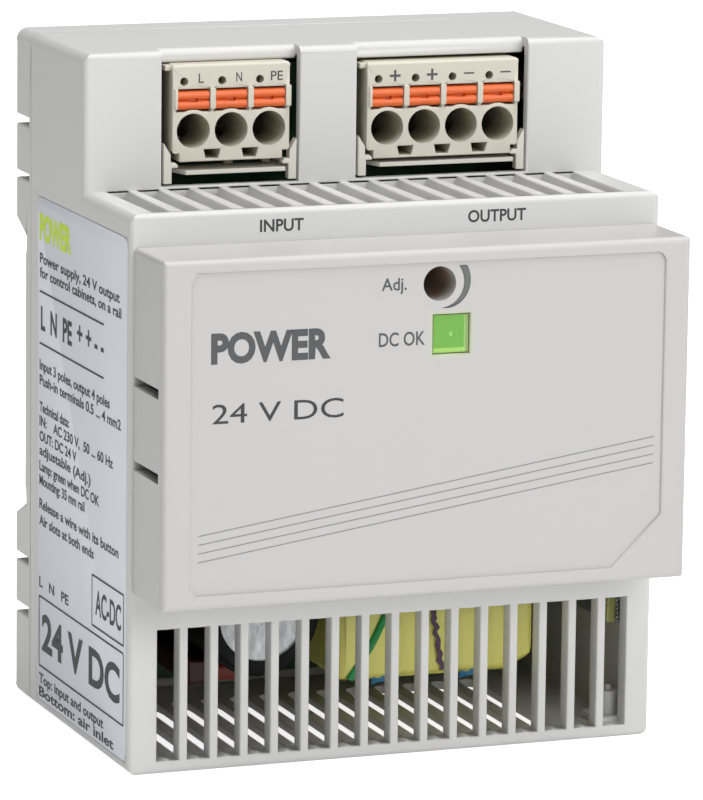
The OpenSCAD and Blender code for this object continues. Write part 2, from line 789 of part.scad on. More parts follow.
module controller_chip() {
    color("dimgray") box([control_x - 1.6, 2, 52], [control_x - 0.01, 6, 57]);
}

module output_heatsink() {
    color("silver") difference() {
        box([32, -13, 14.4], [33.6, 18.2, 58]);
        translate([31, 4, 34]) rotate([0, 90, 0]) cylinder(h = 4, d = 3);
    }
}

module output_rectifier() {
    color("dimgray") box([27.4, -4, 26], [31.9, 11, 36]);
    color("silver") leads([for (i = [0:2]) [29.6, 28.5 + i * 2.5]], 10.9);
}

output_choke = [13.4, 8, 51];

module output_choke_core() {
    color("olivedrab") translate(output_choke) rotate([90, 0, 0]) difference() {
        cylinder(h = 6.4, d = 12.4, center = true);
        cylinder(h = 8, d = 6.2, center = true);
    }
}

module output_choke_winding() {
    color("peru") for (a = [0:45:315]) translate(output_choke) rotate([0, a, 0]) {
        difference() {
            translate([4.65, 0, 0]) cube([5, 8.4, 1.4], center = true);
            translate([4.65, 0, 0]) cube([3.3, 6.6, 2], center = true);
        }
    }
    color("silver") leads([for (s = [-4.6, 4.6]) [output_choke[0] + s, output_choke[2]]], 12.1);
}

module output_capacitors() {
    color("darkslategray") for (p = [[9, 63.8], [19.6, 64.5], [24.1, 44.6]]) {
        electrolytic(p[0], p[1], -2, 18.6, 4.9);
    }
}

// ---------- assembly ----------

main_cover();
rear_base();
front_bezel();
rating_label();
led_lens();
rail_latch();
latch_spring();
cover_screws();
terminal(input_x, input_base, input_poles);  // input_terminal
contacts(input_x, input_base, input_poles);  // input_contacts
clamp_springs(input_x, input_base, input_poles);  // input_clamp_springs
wire_tray(input_x, input_win_w);  // input_wire_tray
button(input_x, input_base, input_poles, 0);  // input_button_1
button(input_x, input_base, input_poles, 1);  // input_button_2
button(input_x, input_base, input_poles, 2);  // input_button_3
terminal(output_x, output_base, output_poles);  // output_terminal
contacts(output_x, output_base, output_poles);  // output_contacts
clamp_springs(output_x, output_base, output_poles);  // output_clamp_springs
wire_tray(output_x, output_win_w);  // output_wire_tray
button(output_x, output_base, output_poles, 0);  // output_button_1
button(output_x, output_base, output_poles, 1);  // output_button_2
button(output_x, output_base, output_poles, 2);  // output_button_3
button(output_x, output_base, output_poles, 3);  // output_button_4
main_board();
control_board();
status_led();
trimmer_body();
trimmer_rotor();
fuse();
varistor();
filter_capacitors();
choke_core();
choke_windings();
bridge_rectifier();
bulk_capacitors();
primary_heatsink();
switching_transistor();
transformer_core();
transformer_winding();
transformer_bobbin();
transformer_tape();
safety_capacitor();
optocoupler();
controller_chip();
output_heatsink();
output_rectifier();
output_choke_core();
output_choke_winding();
output_capacitors();
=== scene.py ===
# %% [markdown]
# # A DIN rail power supply
# This lesson dresses a finished CAD model of a small power supply for a control cabinet.
# The CAD model gives every size, so the script loads it first and never moves it.
# Each cell then makes one piece or one finish, in the order a maker would look at the object:
# the stage, the finishes, the housing, its printing, the terminals and what shows inside.

import math

import bmesh
import bpy
from mathutils import Matrix, Vector, noise


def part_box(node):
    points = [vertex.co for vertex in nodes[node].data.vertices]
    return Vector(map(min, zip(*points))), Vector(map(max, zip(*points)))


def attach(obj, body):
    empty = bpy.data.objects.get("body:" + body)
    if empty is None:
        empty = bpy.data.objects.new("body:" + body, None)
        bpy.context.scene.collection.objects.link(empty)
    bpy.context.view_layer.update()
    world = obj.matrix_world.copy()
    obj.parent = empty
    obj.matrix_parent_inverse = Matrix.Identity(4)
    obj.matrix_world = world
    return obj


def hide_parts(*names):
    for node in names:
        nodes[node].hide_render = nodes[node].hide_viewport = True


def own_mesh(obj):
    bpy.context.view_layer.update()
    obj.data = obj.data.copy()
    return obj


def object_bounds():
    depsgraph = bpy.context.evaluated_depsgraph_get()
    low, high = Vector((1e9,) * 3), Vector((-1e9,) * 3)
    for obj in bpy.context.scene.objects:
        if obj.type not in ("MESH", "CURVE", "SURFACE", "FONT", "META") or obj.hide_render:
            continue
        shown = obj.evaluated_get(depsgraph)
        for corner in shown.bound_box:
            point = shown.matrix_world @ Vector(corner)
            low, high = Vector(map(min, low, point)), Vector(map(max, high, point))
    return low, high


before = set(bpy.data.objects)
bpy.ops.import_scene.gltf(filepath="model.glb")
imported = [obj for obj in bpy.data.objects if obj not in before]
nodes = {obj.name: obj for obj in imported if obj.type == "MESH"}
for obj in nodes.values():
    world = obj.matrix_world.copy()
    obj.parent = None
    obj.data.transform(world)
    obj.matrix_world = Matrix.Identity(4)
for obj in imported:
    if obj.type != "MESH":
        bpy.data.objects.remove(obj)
cad_low, cad_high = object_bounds()
MM = 0.001
print("loaded", len(nodes), "nodes; size in mm:", [round(v / MM, 1) for v in cad_high - cad_low])

# %% [markdown]
# ## Camera
# A long lens from three quarters of a metre away keeps the upright edges almost parallel, as a catalogue
# picture does. The camera stands a little left of the middle and looks slightly down. It is placed
# from its angles, because two angles and a distance are easier to read than a matrix.

# %% Camera
AZIMUTH, ELEVATION, ROLL = (math.radians(a) for a in (-20.77, 10.725, 0.719))
CAMERA_DISTANCE = 741.3 * MM
CAMERA_TARGET = Vector((0.41, -0.5, 43.5)) * MM

camera_data = bpy.data.cameras.new("camera")
camera_data.sensor_width = 36.0
camera_data.lens = 255.6
camera_data.clip_start, camera_data.clip_end = 0.05, 30.0
camera = bpy.data.objects.new("camera", camera_data)
bpy.context.scene.collection.objects.link(camera)
bpy.context.scene.camera = camera

back = Vector((math.sin(AZIMUTH) * math.cos(ELEVATION),
               -math.cos(AZIMUTH) * math.cos(ELEVATION), math.sin(ELEVATION)))
right = Vector((math.cos(AZIMUTH), math.sin(AZIMUTH), 0.0))
up = back.cross(right)
rolled_right = math.cos(ROLL) * right + math.sin(ROLL) * up
rolled_up = math.cos(ROLL) * up - math.sin(ROLL) * right
camera.matrix_world = (Matrix.Translation(CAMERA_TARGET + back * CAMERA_DISTANCE)
                       @ Matrix((rolled_right, rolled_up, back)).transposed().to_4x4())
print("camera at", [round(v, 3) for v in camera.matrix_world.translation])

# %% [markdown]
# ## Colours and nodes
# Colours are picked on a screen, so they are sRGB hex codes, but Cycles mixes light in linear
# values. One function turns the first into the second. A second small function adds a shader node
# with its settings and its links in one call, so that each finish below reads like a recipe.

# %% Two small helpers
def colour(code):
    """Linear values, with alpha, of an sRGB hex code."""
    parts = [int(code[i:i + 2], 16) / 255 for i in (1, 3, 5)]
    return tuple(c / 12.92 if c <= 0.04045 else ((c + 0.055) / 1.055) ** 2.4 for c in parts) + (1.0,)


def add(tree, kind, settings=None, **sockets):
    """A node of this kind. A socket is given a value, or another node's output to link from."""
    node = tree.nodes.new(kind)
    for key, value in (settings or {}).items():
        setattr(node, key, value)
    for key, value in sockets.items():
        socket = node.inputs[int(key[1:])] if key[1:].isdigit() else node.inputs[key.replace("_", " ")]
        if isinstance(value, bpy.types.NodeSocket):
            tree.links.new(value, socket)
        else:
            socket.default_value = value
    return node


print("white in linear values:", colour("#FFFFFF"))

# %% [markdown]
# ## Stage and light
# A light grey object needs a paler floor and soft, even light, or its faces run together. One wide
# softbox hangs overhead for the tops, a second stands in front and a little to the right, so that
# the left side falls into a quiet shade. The white floor sends light back up under the ledges. Floor
# and sky are brighter to the camera than to the object, so the paper is white and the shades stay.

# %% Floor, sky and softboxes
scene = bpy.context.scene
scene.view_settings.view_transform = "Standard"
scene.view_settings.look = "None"

floor_mesh = bpy.data.meshes.new("floor")
floor_bm = bmesh.new()
bmesh.ops.create_grid(floor_bm, x_segments=1, y_segments=1, size=4.0)
floor_bm.to_mesh(floor_mesh)
floor_bm.free()
floor = bpy.data.objects.new("floor", floor_mesh)
scene.collection.objects.link(floor)

paper = bpy.data.materials.new("white_paper_sweep")
paper.use_nodes = True
paper_shader = paper.node_tree.nodes["Principled BSDF"]
paper_shader.inputs["Base Color"].default_value = colour("#F4F4F4")
paper_shader.inputs["Roughness"].default_value = 0.9
paper_shader.inputs["Specular IOR Level"].default_value = 0.1
floor_ray = add(paper.node_tree, "ShaderNodeLightPath")
glow = add(paper.node_tree, "ShaderNodeMapRange", None, Value=floor_ray.outputs["Is Camera Ray"],
           To_Min=0.1, To_Max=0.8)
paper_shader.inputs["Emission Color"].default_value = colour("#FFFFFF")
paper.node_tree.links.new(glow.outputs[0], paper_shader.inputs["Emission Strength"])
floor_mesh.materials.append(paper)

world = bpy.data.worlds.new("studio")
world.use_nodes = True
scene.world = world
sky = world.node_tree.nodes["Background"]
sky_ray = add(world.node_tree, "ShaderNodeLightPath")
seen = add(world.node_tree, "ShaderNodeMapRange", None, Value=sky_ray.outputs["Is Camera Ray"],
           To_Min=0.165, To_Max=1.0)
sky.inputs["Color"].default_value = colour("#FCFDFF")
world.node_tree.links.new(seen.outputs["Result"], sky.inputs["Strength"])


STAGE_CENTRE = Vector((0, 0, 45)) * MM


def softbox(name, azimuth, elevation, distance, width, height, watts):
    """An area light in metres and watts, turned towards the middle of the object."""
    a, e = math.radians(azimuth), math.radians(elevation)
    towards = Vector((math.sin(a) * math.cos(e), -math.cos(a) * math.cos(e), math.sin(e)))
    lamp = bpy.data.lights.new(name, "AREA")
    lamp.shape, lamp.size, lamp.size_y, lamp.energy = "RECTANGLE", width, height, watts
    box = bpy.data.objects.new(name, lamp)
    box.matrix_world = (Matrix.Translation(STAGE_CENTRE + towards * distance)
                        @ towards.to_track_quat("Z", "Y").to_matrix().to_4x4())
    scene.collection.objects.link(box)
    return box


softbox("overhead_softbox", 0, 80, 0.9, 1.1, 1.0, 10.3)
softbox("front_softbox", 20, 24, 1.3, 0.9, 0.7, 7.8)
print("stage: floor, sky and 2 softboxes")

# %% [markdown]
# ## Finishes
# Nearly every part here is moulded, so one recipe covers most of them: a main colour with a second
# shade that drifts in slow patches, a fine grain that changes the gloss, and the same grain as a very
# shallow relief. Only the scale, the depth and the shader's own values differ. Grain that is finer
# than the render can show is drawn coarser, at about the smallest size that still reads.

# %% The common recipe
GLOSS_SPREAD = 0.07


def finish(name, main, shade, patch_mm, rough, grain_mm, relief_mm, stretch=(1, 1, 1), **values):
    """A material with two shades in patches, and a grain in its gloss and its relief."""
    material = bpy.data.materials.new(name)
    material.use_nodes = True
    tree = material.node_tree
    shader = tree.nodes["Principled BSDF"]
    place = add(tree, "ShaderNodeTexCoord")
    spread = add(tree, "ShaderNodeMapping", None, Vector=place.outputs["Object"], Scale=stretch)
    patches = add(tree, "ShaderNodeTexNoise", None, Vector=spread.outputs[0], Scale=1 / (patch_mm * MM),
                  Detail=3.0)
    tint = add(tree, "ShaderNodeMix", {"data_type": "RGBA"}, _0=patches.outputs["Fac"],
               _6=colour(main), _7=colour(shade))
    grain = add(tree, "ShaderNodeTexNoise", None, Vector=spread.outputs[0], Scale=1 / (grain_mm * MM),
                Detail=2.0)
    gloss = add(tree, "ShaderNodeMapRange", None, Value=grain.outputs["Fac"],
                To_Min=rough - GLOSS_SPREAD, To_Max=rough + GLOSS_SPREAD)
    relief = add(tree, "ShaderNodeBump", None, Height=grain.outputs["Fac"], Strength=1.0,
                 Distance=relief_mm * MM)
    tree.links.new(tint.outputs[2], shader.inputs["Base Color"])
    tree.links.new(gloss.outputs[0], shader.inputs["Roughness"])
    tree.links.new(relief.outputs[0], shader.inputs["Normal"])
    for socket, value in values.items():
        shader.inputs[socket.replace("_", " ")].default_value = value
    return material


def along(material, axis, start_mm, end_mm):
    """A mask over an object axis: 0 before the start and 1 past the end, soft in between."""
    tree = material.node_tree
    place = add(tree, "ShaderNodeTexCoord")
    split = add(tree, "ShaderNodeSeparateXYZ", None, Vector=place.outputs["Object"])
    return add(tree, "ShaderNodeMapRange", None, Value=split.outputs[axis],
               From_Min=start_mm * MM, From_Max=end_mm * MM).outputs[0]


def window(material, axis, low_mm, high_mm, soft_mm):
    """Two masks that together leave only the stretch from low to high."""
    return (along(material, axis, low_mm - soft_mm, low_mm),
            along(material, axis, high_mm + soft_mm, high_mm))


def paint_over(material, code, masks, strength=1.0):
    """Lays another colour over the finish where all the masks are 1."""
    tree = material.node_tree
    base = tree.nodes["Principled BSDF"].inputs["Base Color"]
    amount = None
    for mask in masks:
        product = add(tree, "ShaderNodeMath", {"operation": "MULTIPLY"}, _0=mask,
                      _1=strength if amount is None else amount)
        amount = product.outputs[0]
    over = add(tree, "ShaderNodeMix", {"data_type": "RGBA"}, _0=amount,
               _6=base.links[0].from_socket, _7=colour(code))
    tree.links.new(over.outputs[2], base)


# Polycarbonate from a spark-eroded mould: light grey, satin, with a very fine even grain.
HOUSING = finish("moulded_polycarbonate", "#D0D0CE", "#CCCCCA", 30, 0.46, 0.35, 0.004, IOR=1.58)
# The bezel is the same plastic from a polished mould: a touch warmer and smoother.
BEZEL = finish("polished_polycarbonate", "#BEBDBC", "#BBBAB9", 40, 0.38, 0.5, 0.002, IOR=1.58)
# Unfilled polyamide: warm ivory with a soft waxy gloss.
IVORY = finish("moulded_polyamide", "#D2CEC0", "#CBC6B6", 8, 0.42, 0.3, 0.003, IOR=1.53)
# The trays are the same plastic, painted lighter as painted light because they lie open to the light.
IVORY_PAINTED_LIGHTER = finish("moulded_polyamide_tray_painted_lighter", "#DAD7CE", "#D3CFC4", 8, 0.42, 0.3, 0.003, IOR=1.53)
# Dyed polyamide buttons: strong orange with a soft highlight.
ORANGE = finish("orange_polyamide", "#E96F31", "#E0632A", 3, 0.4, 0.25, 0.003, IOR=1.53)
# Glass-filled polyamide latch: mid grey and rather dull, with short flow marks.
LATCH = finish("glass_filled_polyamide", "#8F908E", "#858684", 5, 0.55, 0.3, 0.008, (1, 1, 0.4), IOR=1.53)
# Zinc-plated steel: grey with a slight cloud, half bright.
ZINC = finish("zinc_plate", "#BFC1C2", "#A6A9AB", 2, 0.32, 0.3, 0.004, Metallic=1.0)
# Spring steel: drawn along its length, so it is bright with faint lines.
SPRING = finish("spring_steel", "#B9BBBD", "#9C9FA2", 1.5, 0.28, 0.2, 0.003, (1, 1, 0.2), Metallic=1.0)
# Tinned copper: soft, pale and slightly yellow metal.
TINNED = finish("tinned_copper", "#C9C2AE", "#B3A98F", 2, 0.35, 0.3, 0.004, Metallic=1.0)
# Solder mask over copper tracks: deep green and glossy, uneven where the tracks lie under it.
BOARD = finish("green_solder_mask", "#0E5A34", "#0A4226", 2.5, 0.3, 0.8, 0.02, IOR=1.5)
# Extruded aluminium: pale and matt, with long fine lines.
ALUMINIUM = finish("extruded_aluminium", "#C6C8CA", "#B2B5B8", 3, 0.42, 0.25, 0.006, (1, 0.1, 1),
                   Metallic=1.0)
# Can end of a capacitor: rolled aluminium with diagonal scratches and shallow dents.
CAN_END = finish("rolled_aluminium_foil", "#FFFFFF", "#9EA1A7", 0.7, 0.34, 0.8, 0.2, (1, 1, 0.4),
                 Metallic=0.6)
# Shrink sleeve: black, glossy, with slow waves from the heat.
SLEEVE = finish("black_shrink_sleeve", "#030405", "#070809", 6, 0.45, 2.5, 0.05, IOR=1.3)
# Polyester tape round the transformer: pale yellow film, wrinkled along its length and shiny.
TAPE = finish("yellow_polyester_tape", "#EFEB7E", "#E4DE6C", 4, 0.26, 2.2, 0.10, (1, 1, 0.35), IOR=1.57)
# The same tape over a grey plate reads olive: partly the plate under the film, partly painted shade for
# its place further back.
TAPE_OLIVE = finish("olive_polyester_tape", "#C8C97E", "#BABB72", 3, 0.3, 1.2, 0.05, IOR=1.57)
# Marks on the tape: green sleeved lead, violet marker pen, blue tape ends.
GREEN_SLEEVE = finish("green_silicone_sleeve", "#2FA35C", "#27904F", 1.2, 0.4, 0.4, 0.02, IOR=1.45)
VIOLET_PEN = finish("violet_marker_pen", "#5F4A63", "#4C3850", 0.6, 0.5, 0.3, 0.004, IOR=1.48)
BLUE_TAPE = finish("blue_polyester_tape", "#2C7FA8", "#236C92", 1, 0.35, 0.5, 0.02, IOR=1.5)
# Green lamp window: tinted clear plastic. Its colour is partly its own green tint and partly the glow of
# the lamp behind it, painted in as painted light.
LENS = finish("green_lamp_window", "#71AC44", "#68A640", 1.8, 0.25, 0.6, 0.004, IOR=1.5)
# Silvered label film, slightly blue, with a fine even grain. Its pale colour is partly the film's own and
# partly its silvered shine, painted in as painted reflection.
LABEL = finish("silvered_label_film", "#E3E7EE", "#DFE3EB", 12, 0.4, 0.3, 0.001, IOR=1.5)
LIME_INK = finish("lime_printing_ink", "#CBE634", "#C4E02F", 2, 0.5, 0.2, 0.001, IOR=1.48)
# Dipped epoxy: thick glossy skin, a little wavy, dark red or blue.
RED_EPOXY = finish("red_dipped_epoxy", "#4A120D", "#38100D", 4, 0.32, 1.6, 0.05, IOR=1.52)
BRICK_EPOXY = finish("brick_dipped_epoxy", "#A8361C", "#8C2C18", 4, 0.34, 1.6, 0.05, IOR=1.52)
BLUE_EPOXY = finish("blue_dipped_epoxy", "#1E4E8C", "#183E72", 3, 0.3, 1.5, 0.05, IOR=1.52)
# Moulding compound of chips: near black and matt with a fine speckle.
BLACK_EPOXY = finish("black_moulding_compound", "#1B1B1C", "#242425", 1, 0.55, 0.25, 0.01, IOR=1.52)
# Ferrite: dark grey ceramic, ground smooth, with tiny pits.
FERRITE = finish("ground_ferrite", "#3A3A3C", "#2E2E30", 1.5, 0.5, 0.3, 0.012, IOR=1.6)
# Powdered iron ring under yellow-green paint.
PAINTED_CORE = finish("painted_powder_core", "#8B8C3C", "#7C7D33", 2, 0.4, 0.5, 0.02, IOR=1.5)
# Phenolic: black-brown and slightly glossy.
PHENOLIC = finish("black_phenolic", "#191716", "#22201E", 3, 0.4, 0.4, 0.008, IOR=1.5)
# Brown glass-filled case of the fuse.
FUSE_CASE = finish("brown_fuse_case", "#5A3524", "#4C2C1E", 3, 0.38, 0.5, 0.01, IOR=1.5)
# Clear epoxy of the lamp, which lets light through.
CLEAR = finish("clear_epoxy", "#E6F2E2", "#DDEBD8", 2, 0.15, 0.6, 0.004, Transmission_Weight=0.7, IOR=1.52)
# Blue trimmer case and its white dial.
TRIMMER_CASE = finish("blue_trimmer_case", "#23489C", "#1D3C84", 2, 0.35, 0.3, 0.006, IOR=1.5)
DIAL = finish("white_trimmer_dial", "#E4E1D8", "#D8D4C9", 1, 0.45, 0.25, 0.004, IOR=1.5)
# Screen-printing ink: thin, dark grey and matt.
INK = finish("grey_printing_ink", "#4B4C4F", "#545558", 1.5, 0.6, 0.2, 0.001, IOR=1.48)
INK_DARK = finish("dark_printing_ink", "#343538", "#3C3D40", 1.5, 0.6, 0.2, 0.001, IOR=1.48)
INK_LINE = finish("pale_printing_ink", "#838486", "#8B8C8F", 1.5, 0.6, 0.2, 0.001, IOR=1.48)
INK_FILL = finish("mid_grey_printing_ink", "#646664", "#6C6E6C", 1.5, 0.6, 0.2, 0.001, IOR=1.48)
INK_BLACK = finish("black_printing_ink", "#26272A", "#2E2F33", 1.5, 0.55, 0.2, 0.001, IOR=1.48)
print("finishes:", len(bpy.data.materials))

# %% [markdown]
# ## Enamelled wire
# A winding is hundreds of turns of copper wire side by side. At this size single turns would cost
# far more faces than they show, so a wave texture draws them: its bands are one wire apart, and
# they paint shade into the gap between turns and a lighter crown on each turn, and round each
# turn as a relief.

# %% Copper windings
WAVE_BANDS = 3.18  # bands that a wave texture of scale 1 draws in each metre


def wound_wire(name, wire_mm, direction):
    """Enamelled wire, laid turn by turn along the given axis, with painted shade between turns."""
    material = finish(name, "#A4532B", "#8C4423", 2, 0.3, 0.4, 0.004, Metallic=0.8)
    tree = material.node_tree
    shader = tree.nodes["Principled BSDF"]
    place = add(tree, "ShaderNodeTexCoord")
    turns = add(tree, "ShaderNodeTexWave", {"wave_type": "BANDS", "bands_direction": direction,
                                            "wave_profile": "SIN"},
                Vector=place.outputs["Object"], Scale=1 / (wire_mm * MM) / WAVE_BANDS, Distortion=0.3)
    # Painted shade: dark brown in the gaps between turns, lighter on each turn's crown.
    gap = add(tree, "ShaderNodeMix", {"data_type": "RGBA"}, _0=turns.outputs["Fac"],
              _6=colour("#3C1A10"), _7=colour("#B8643A"))
    round_turns = add(tree, "ShaderNodeBump", None, Height=turns.outputs["Fac"], Strength=1.0,
                      Distance=wire_mm * 0.4 * MM)
    tree.links.new(gap.outputs[2], shader.inputs["Base Color"])
    tree.links.new(round_turns.outputs[0], shader.inputs["Normal"])
    return material


COPPER = wound_wire("enamelled_copper_wire", 0.8, "Y")
COPPER_FINE = wound_wire("fine_enamelled_wire", 0.5, "Z")
print("wound finishes: 2")

# %% [markdown]
# ## Pieces
# Each new piece is a mesh in its final place, with its object left at the origin. One function makes
# the object from a bmesh, gives it its finish, and says which body it rides on and which CAD node it
# stands for.

# %% Making and placing a piece
def piece_from(bm, name, materials, body="housing", slot=None, replaces=(), smooth_deg=None):
    """Turns the bmesh into a piece that rides on the body and stands for the replaced nodes."""
    mesh = bpy.data.meshes.new(name)
    bm.to_mesh(mesh)
    bm.free()
    for material in materials:
        mesh.materials.append(material)
    if smooth_deg:
        mesh.shade_smooth()
        mesh.set_sharp_from_angle(angle=math.radians(smooth_deg))
    piece = bpy.data.objects.new(name, mesh)
    scene.collection.objects.link(piece)
    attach(piece, body)
    if replaces:
        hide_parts(*replaces)
    return piece


def merged_copy(node):
    """The node's mesh with its loose triangles joined."""
    bm = bmesh.new()
    bm.from_mesh(nodes[node].data)
    bmesh.ops.remove_doubles(bm, verts=bm.verts, dist=0.0005 * MM)
    for face in bm.faces:
        face.material_index = 0
        face.smooth = True
    return bm


ROUNDED_FROM, SHARP_FROM = math.radians(40), math.radians(30)


def soften(bm, piece_name, materials, width_mm, shortest_mm=0.5, **where):
    """Rounds the outward edges that turn by more than 40 degrees, by a Bevel modifier."""
    layer = bm.edges.layers.float.new("bevel_weight_edge")
    for edge in bm.edges:
        bend = edge.calc_face_angle_signed(0.0) if len(edge.link_faces) == 2 else 0.0
        rounded = bend > ROUNDED_FROM and edge.calc_length() > shortest_mm * MM
        edge[layer] = float(rounded)
        edge.smooth = rounded or abs(bend) < SHARP_FROM
    piece = piece_from(bm, piece_name, materials, **where)
    bevel = piece.modifiers.new("soft_edges", "BEVEL")
    bevel.width, bevel.segments, bevel.limit_method = width_mm * MM, 2, "WEIGHT"
    bevel.use_clamp_overlap, bevel.profile = False, 0.5
    level = piece.modifiers.new("flat_faces_stay_flat", "WEIGHTED_NORMAL")
    level.keep_sharp = True
    return piece


print("ready to make pieces")

# %% [markdown]
# ## Housing
# Moulded plastic has no knife edges: the mould gives each slot bar and window a small radius, and
# that radius is what catches the light. The CAD model carries the large radii. Here a copy of each
# housing part is joined up and its remaining sharp outward edges get a narrow round.

# %% Cover, base and bezel
cover = soften(merged_copy("main_cover"), "cover_shell", [HOUSING], 0.22, slot="housing",
               replaces=["main_cover"])
base = soften(merged_copy("rear_base"), "base_shell", [HOUSING], 0.25, slot="housing",
              replaces=["rear_base"])
bezel = soften(merged_copy("front_bezel"), "bezel_shell", [BEZEL], 0.24, slot="housing",
               replaces=["front_bezel"])
for shell in (cover, base, bezel):
    print(shell.name, len(shell.data.polygons), "faces before rounding")

# %% [markdown]
# ## Terminals, trays and buttons
# These small mouldings are handled the same way with a finer round. They are close to the eye's
# focus at the top of the object, so their ribs and rims need real edges.

# %% Terminal strips, trays, buttons, latch
for side in ("input", "output"):
    soften(merged_copy(side + "_terminal"), side + "_strip", [IVORY], 0.13, shortest_mm=0.3,
           slot="terminal_body", replaces=[side + "_terminal"])
    soften(merged_copy(side + "_wire_tray"), side + "_tray", [IVORY_PAINTED_LIGHTER], 0.08, shortest_mm=0.2,
           slot="terminal_body", replaces=[side + "_wire_tray"])
buttons = sorted(n for n in nodes if "button" in n)
for name in buttons:
    soften(merged_copy(name), name + "_cap", [ORANGE], 0.1, shortest_mm=0.2, body=name, slot="button",
           replaces=[name])
soften(merged_copy("rail_latch"), "latch_slider", [LATCH], 0.2, body="rail_latch", slot="latch",
       replaces=["rail_latch"])
print("small mouldings:", 5 + len(buttons))

# %% [markdown]
# ## Painted shade inside the wire entries
# A push-in entry swallows light: its wall is ivory at the rim and dark olive a few millimetres in.
# The strips are opaque in this model, so that shade is painted into the finish, darker along the
# depth; the strips' outer faces further back get the same painted shade.

# %% Painted shade, darker with depth
STRIP_RIB_MM = 0.35
strip = nodes["input_terminal"]
strip_front = min((strip.matrix_world @ vertex.co).y for vertex in strip.data.vertices)
mouth_mm = strip_front / MM + STRIP_RIB_MM
# Painted shade: the ivory darkens from the mouth inwards, to dark olive deeper in.
paint_over(IVORY, "#BDB69F", [along(IVORY, "Y", mouth_mm + 0.4, mouth_mm + 2.5)])
paint_over(IVORY, "#7A725C", [along(IVORY, "Y", mouth_mm + 3.0, mouth_mm + 7.5)])
print("strip front at y =", round(mouth_mm, 2), "mm")

# %% [markdown]
# ## Lamp window
# The window is a block of clear green plastic, drawn opaque. What shows through its face is painted
# light: its right wall as a darker band of painted shade with a painted highlight line, its floor
# as a lighter band, a painted dark border and a painted glow in the middle. The faint green light
# it throws on the rim of its hole is painted on the bezel.

# %% Lamp window
low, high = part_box("led_lens")
lens_left, lens_right, lens_low, lens_high = low.x / MM, high.x / MM, low.z / MM, high.z / MM
# Painted light: a lighter band along the bottom, for the floor seen through the face.
paint_over(LENS, "#9CCB63", [along(LENS, "Z", lens_low + 0.75, lens_low + 0.6)])
# Painted shade: a darker band at the right, for the right wall seen through the face.
paint_over(LENS, "#8CA75F", [along(LENS, "X", lens_right - 0.55, lens_right - 0.45)])
# Painted highlight: a pale line just left of that band.
paint_over(LENS, "#A9CF83", [*window(LENS, "X", lens_right - 0.62, lens_right - 0.52, 0.05)], 0.6)
# Painted shade: a dark border along all four edges.
for axis, edge, inward in (("X", lens_left, 1), ("X", lens_right, -1),
                           ("Z", lens_low, 1), ("Z", lens_high, -1)):
    paint_over(LENS, "#7C9A58", [along(LENS, axis, edge + inward * 0.16, edge + inward * 0.06)], 0.75)
# Painted glow: a pale spot in the middle, for the lamp behind.
centre_x, centre_z = (lens_left + lens_right) / 2, (lens_low + lens_high) / 2
paint_over(LENS, "#A6DC7C", [*window(LENS, "X", centre_x - 0.1, centre_x + 0.1, 0.12),
                             *window(LENS, "Z", centre_z - 0.25, centre_z + 0.15, 0.15)], 0.7)
# Painted light: a soft green glow on the bezel round the window, thrown by the lamp.
paint_over(BEZEL, "#BFCB96", [*window(BEZEL, "X", lens_left, lens_right, 0.75),
                              *window(BEZEL, "Z", lens_low, lens_high, 0.75)], 0.6)
# Painted shade: deeper than about a millimetre into the trimmer hole, the bezel is painted brown-grey, for
# the sleeve behind the hole that ends in the dark.
HOLE_X, HOLE_Z, HOLE_R = 1.2, 63.5, 2.6
paint_over(BEZEL, "#A08A74", [*window(BEZEL, "X", HOLE_X - HOLE_R, HOLE_X + HOLE_R, 0.2),
                              *window(BEZEL, "Z", HOLE_Z - HOLE_R, HOLE_Z + HOLE_R, 0.2),
                              along(BEZEL, "Y", cad_low.y / MM + 0.9, cad_low.y / MM + 4.0)], 0.85)
soften(merged_copy("led_lens"), "lamp_window", [LENS], 0.12, slot="lens", replaces=["led_lens"])
print("lamp window", round(lens_right - lens_left, 2), "x", round(lens_high - lens_low, 2), "mm")

# %% [markdown]
# ## Lettering
# Blender's own font is turned into a mesh, fitted into a box that is given in millimetres, and laid
# on its face with a thickness of two hundredths of a millimetre, as printing ink has. The same
# function prints on the front and on the left side: only the place function changes.

# %% Printing words
INK_MM = 0.02


def on_front(plane_mm):
    """Places print on a face that looks forward."""
    return lambda across, up, out: Vector((across, plane_mm - out, up)) * MM


def on_left(plane_mm):
    """Places print on a face that looks to the left."""
    return lambda across, up, out: Vector((plane_mm - out, across, up)) * MM


def print_words(bm, place, words, start, end, low, high, weight=0.0, line=False):
    """Adds the words to the bmesh, fitted between start and end and between low and high. For a
    line of text, low and high are the font's own, so that all lines get letters of one height."""
    curve = bpy.data.curves.new("words", "FONT")
    curve.body, curve.offset, curve.extrude, curve.resolution_u = words, weight, 0.05, 4
    holder = bpy.data.objects.new("words", curve)
    mesh = bpy.data.meshes.new_from_object(holder)
    xs = [v.co.x for v in mesh.vertices]
    ys = [-0.22, 0.74] if line else [v.co.y for v in mesh.vertices]
    across, up = max(xs) - min(xs), max(ys) - min(ys)
    for vertex in mesh.vertices:
        x, y, z = vertex.co
        vertex.co = place(start + (end - start) * (x - min(xs)) / across,
                          low + (high - low) * (y - min(ys)) / up, INK_MM if z > 0 else 0.0)
    bm.from_mesh(mesh)
    bpy.data.objects.remove(holder)
    bpy.data.curves.remove(curve)
    bpy.data.meshes.remove(mesh)


def print_bar(bm, place, start, end, width_mm):
    """Adds a straight printed line between two points of the face."""
    run = Vector(end) - Vector(start)
    side = Vector((-run.y, run.x)).normalized() * width_mm / 2
    grid = bmesh.ops.create_grid(bm, x_segments=1, y_segments=1, size=1.0)
    for vertex in grid["verts"]:
        point = Vector(start) + run * (vertex.co.x + 1) / 2 + side * vertex.co.y
        vertex.co = place(point.x, point.y, INK_MM)


